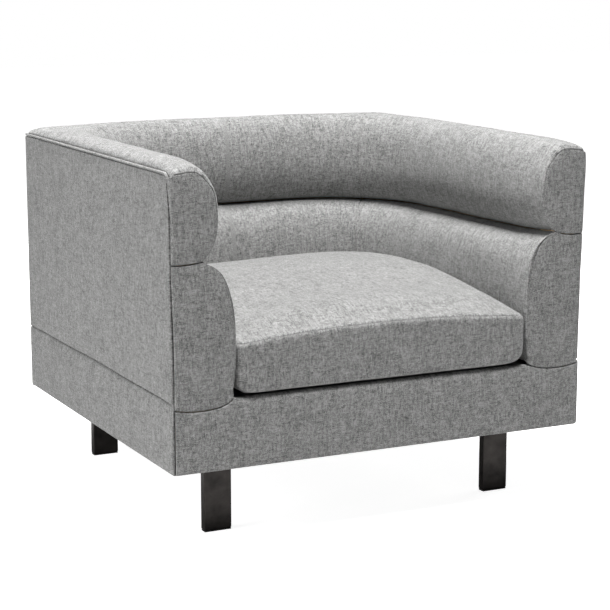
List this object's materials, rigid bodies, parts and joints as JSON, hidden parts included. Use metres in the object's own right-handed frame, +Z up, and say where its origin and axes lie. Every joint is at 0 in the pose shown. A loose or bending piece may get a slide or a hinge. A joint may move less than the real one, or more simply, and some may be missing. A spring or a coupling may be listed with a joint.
{
  "type": "upholstered armchair",
  "caption": "Boxy lounge armchair with a horseshoe of stacked padded bolsters, a loose seat cushion and flat-bar metal legs.",
  "frame": {"origin": "on the floor, under the middle of the chair", "axes": "+X to the right as seen from the front, +Y from the front to the back, +Z up"},
  "size_m": [0.94, 0.877, 0.772],
  "materials": {
    "upholstery": "mid-grey melange linen-look weave with slubs",
    "timber": "sawn hardwood and plywood, hidden inside the cover",
    "leg_metal": "dark gunmetal satin",
    "plain_steel": "zinc-plated steel",
    "glide_plastic": "matte black",
    "deck_cloth": "dark grey lining cloth over a thin pad",
    "dust_cloth": "black non-woven dust cloth"
  },
  "bodies": {
    "chair": {"base_cover_front": "upholstery", "base_cover_right": "upholstery", "base_cover_left": "upholstery", "base_cover_back": "upholstery", "outer_cover_right": "upholstery", "outer_cover_left": "upholstery", "outer_cover_back": "upholstery", "upper_end_cap_left": "upholstery", "upper_end_cap_right": "upholstery", "lower_end_cap_left": "upholstery", "lower_end_cap_right": "upholstery", "upper_bolster_left": "upholstery", "upper_bolster_back": "upholstery", "upper_bolster_right": "upholstery", "lower_bolster_left": "upholstery", "lower_bolster_back": "upholstery", "lower_bolster_right": "upholstery", "welt_left": "upholstery", "welt_right": "upholstery", "welt_back": "upholstery", "side_rail_left": "timber", "side_rail_right": "timber", "front_rail": "timber", "back_rail": "timber", "leg_beam_front": "timber", "leg_beam_rear": "timber", "side_board_left": "timber", "side_board_right": "timber", "front_post_left": "timber", "front_post_right": "timber", "rear_post_left": "timber", "rear_post_right": "timber", "arm_top_rail_left": "timber", "arm_top_rail_right": "timber", "back_board": "timber", "back_top_rail": "timber", "leg_front_left": "leg_metal", "leg_front_right": "leg_metal", "leg_rear_left": "leg_metal", "leg_rear_right": "leg_metal", "bolt_front_left_1": "plain_steel", "bolt_front_left_2": "plain_steel", "bolt_front_right_1": "plain_steel", "bolt_front_right_2": "plain_steel", "bolt_rear_left_1": "plain_steel", "bolt_rear_left_2": "plain_steel", "bolt_rear_right_1": "plain_steel", "bolt_rear_right_2": "plain_steel", "seat_spring_1": "plain_steel", "seat_spring_2": "plain_steel", "seat_spring_3": "plain_steel", "seat_spring_4": "plain_steel", "seat_spring_5": "plain_steel", "glide_front_left": "glide_plastic", "glide_front_right": "glide_plastic", "glide_rear_left": "glide_plastic", "glide_rear_right": "glide_plastic", "seat_deck": "deck_cloth", "dust_cover": "dust_cloth"},
    "cushion": {"seat_cushion": "upholstery"}
  },
  "joints": [
    {"name": "cushion_lift", "type": "slide", "parent": "chair", "child": "cushion", "axis": [0, 0, 1], "range_m": [0, 0.5]}
  ]
}
